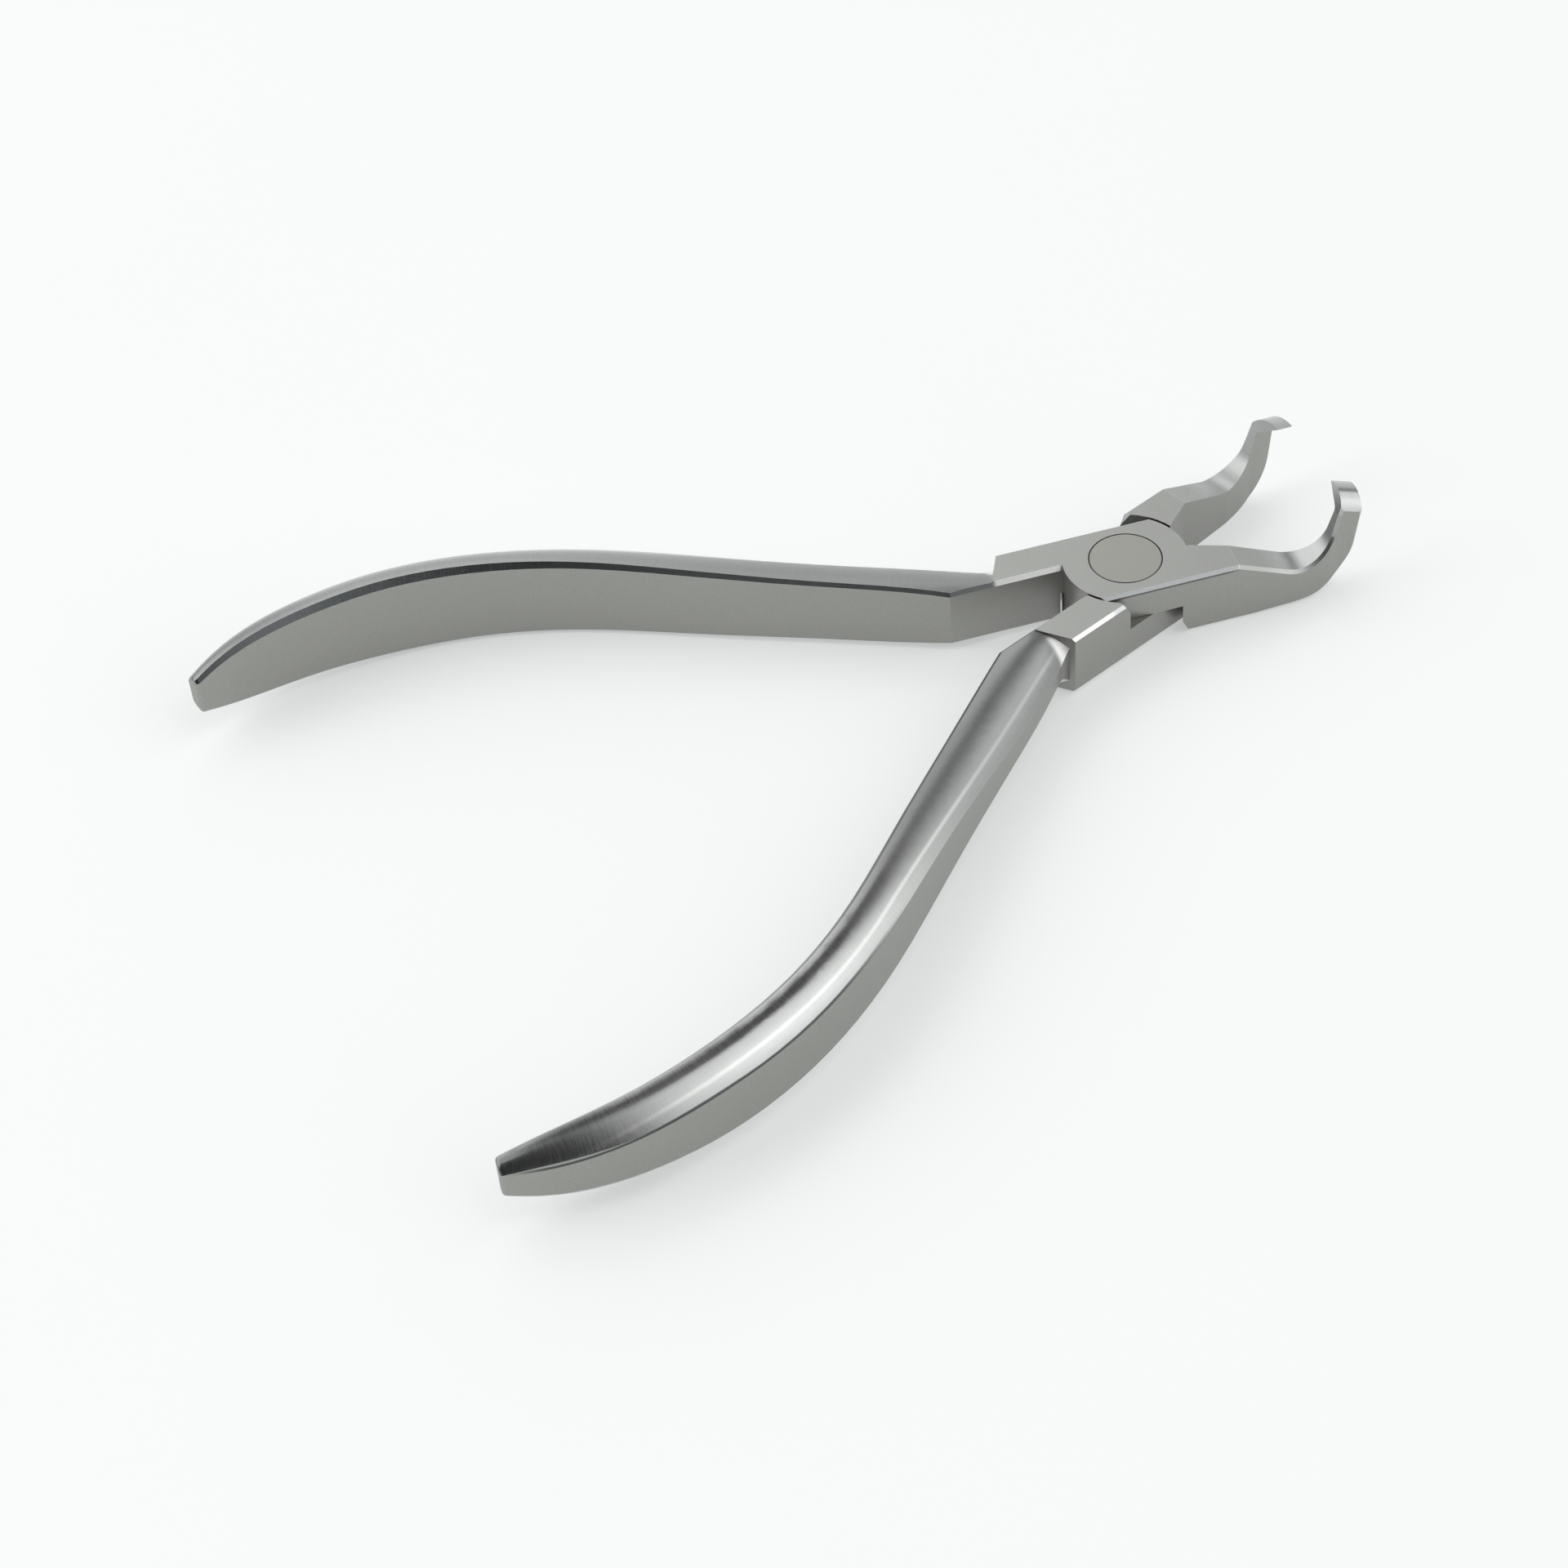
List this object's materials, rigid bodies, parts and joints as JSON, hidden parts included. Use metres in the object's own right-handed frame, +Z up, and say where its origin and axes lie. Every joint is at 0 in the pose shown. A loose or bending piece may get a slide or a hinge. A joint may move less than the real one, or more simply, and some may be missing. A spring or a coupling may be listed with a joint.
{
  "type": "lap-joint pliers",
  "caption": "All-steel lap-joint hand pliers with bowed handles and two up-turned jaws that end in inward-facing chisel lips.",
  "frame": {"origin": "on the pivot axis, at the flat underside of the joint", "axes": "+Z up along the pivot axis towards the flush rivet head, +X towards the jaws along the centre plane between the two halves, +Y towards the upper half's handle"},
  "size_m": [0.1196, 0.0868, 0.0135],
  "materials": {
    "forged_steel": "satin, bead-blasted joint, brushed handles and polished lips",
    "rivet_steel": "satin, faced flush with the joint"
  },
  "bodies": {
    "lower_half": {"lower_half": "forged_steel", "pivot_rivet": "rivet_steel"},
    "upper_half": {"upper_half": "forged_steel"}
  },
  "joints": [
    {"name": "pivot", "type": "hinge", "parent": "lower_half", "child": "upper_half", "pos_m": [0, 0, 0.0038], "axis": [0, 0, 1], "range_deg": [-54, 24.8]}
  ]
}
